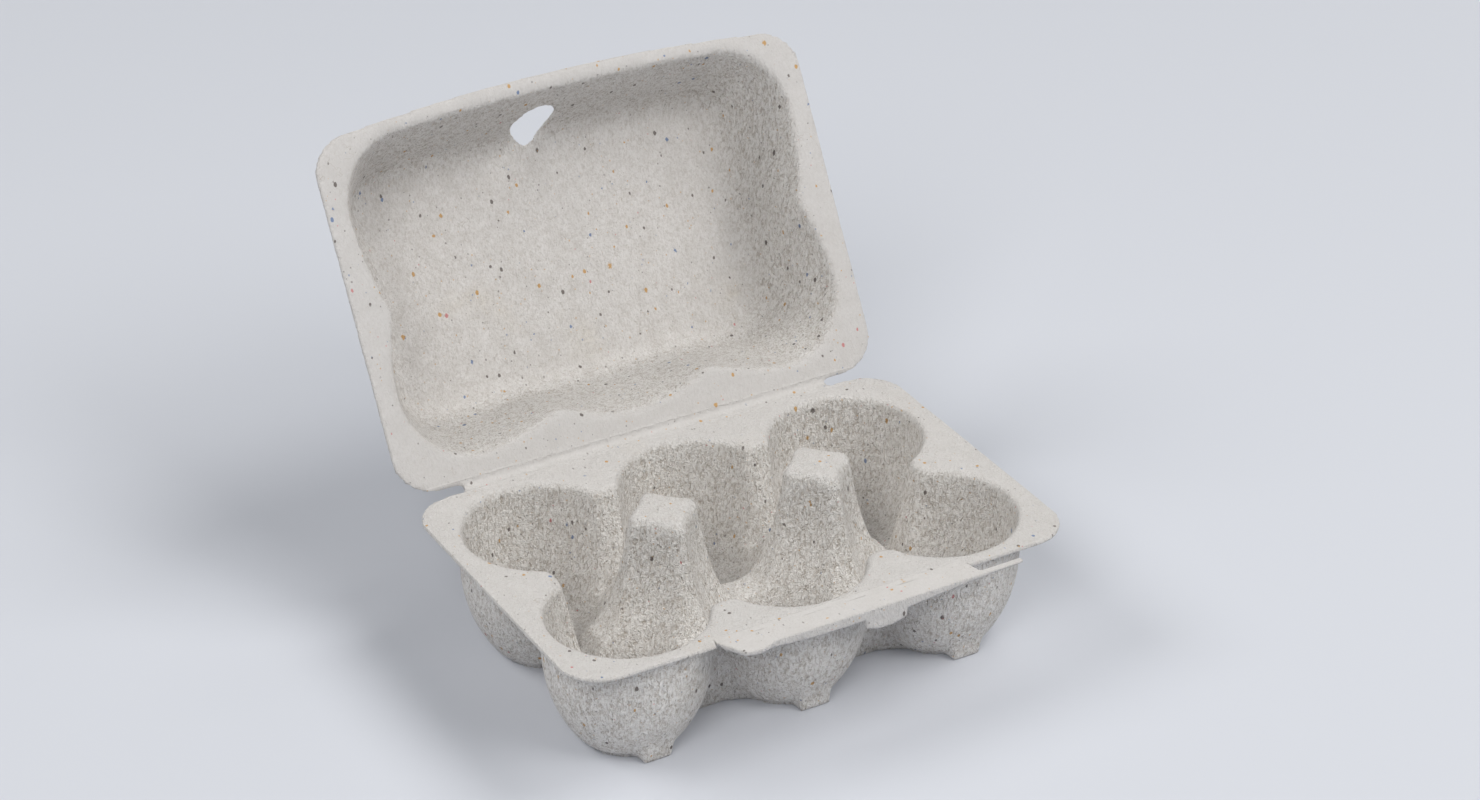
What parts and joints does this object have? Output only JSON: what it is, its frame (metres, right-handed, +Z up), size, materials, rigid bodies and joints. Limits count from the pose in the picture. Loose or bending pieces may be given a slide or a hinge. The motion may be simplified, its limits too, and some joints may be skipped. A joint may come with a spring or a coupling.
{
  "type": "egg carton",
  "caption": "Moulded pulp egg carton with cups and posts in the tray, a domed lid on a folded hinge and a closing flap.",
  "frame": {"origin": "middle of the tray's base, on the surface that it stands on", "axes": "+X along the three cups of a row, -Y to the front with the closing flap, +Y to the hinge, +Z up"},
  "size_m": [0.1528, 0.18, 0.1296],
  "materials": {
    "moulded_pulp": "unbleached grey moulded paper pulp, felted and matte, with darker flecks"
  },
  "bodies": {
    "tray": {"tray": "moulded_pulp", "lid_hinge": "moulded_pulp", "flap_crease": "moulded_pulp"},
    "lid": {"lid": "moulded_pulp"},
    "closing_flap": {"closing_flap": "moulded_pulp"}
  },
  "joints": [
    {"name": "lid_fold", "type": "hinge", "parent": "tray", "child": "lid", "pos_m": [0, 0.0516, 0.0382], "axis": [-1, 0, 0], "range_deg": [-120, 60], "deforming": ["lid_hinge"]},
    {"name": "flap_fold", "type": "hinge", "parent": "tray", "child": "closing_flap", "pos_m": [0, -0.0488, 0.038], "axis": [-1, 0, 0], "range_deg": [0, 170], "deforming": ["flap_crease"]}
  ]
}
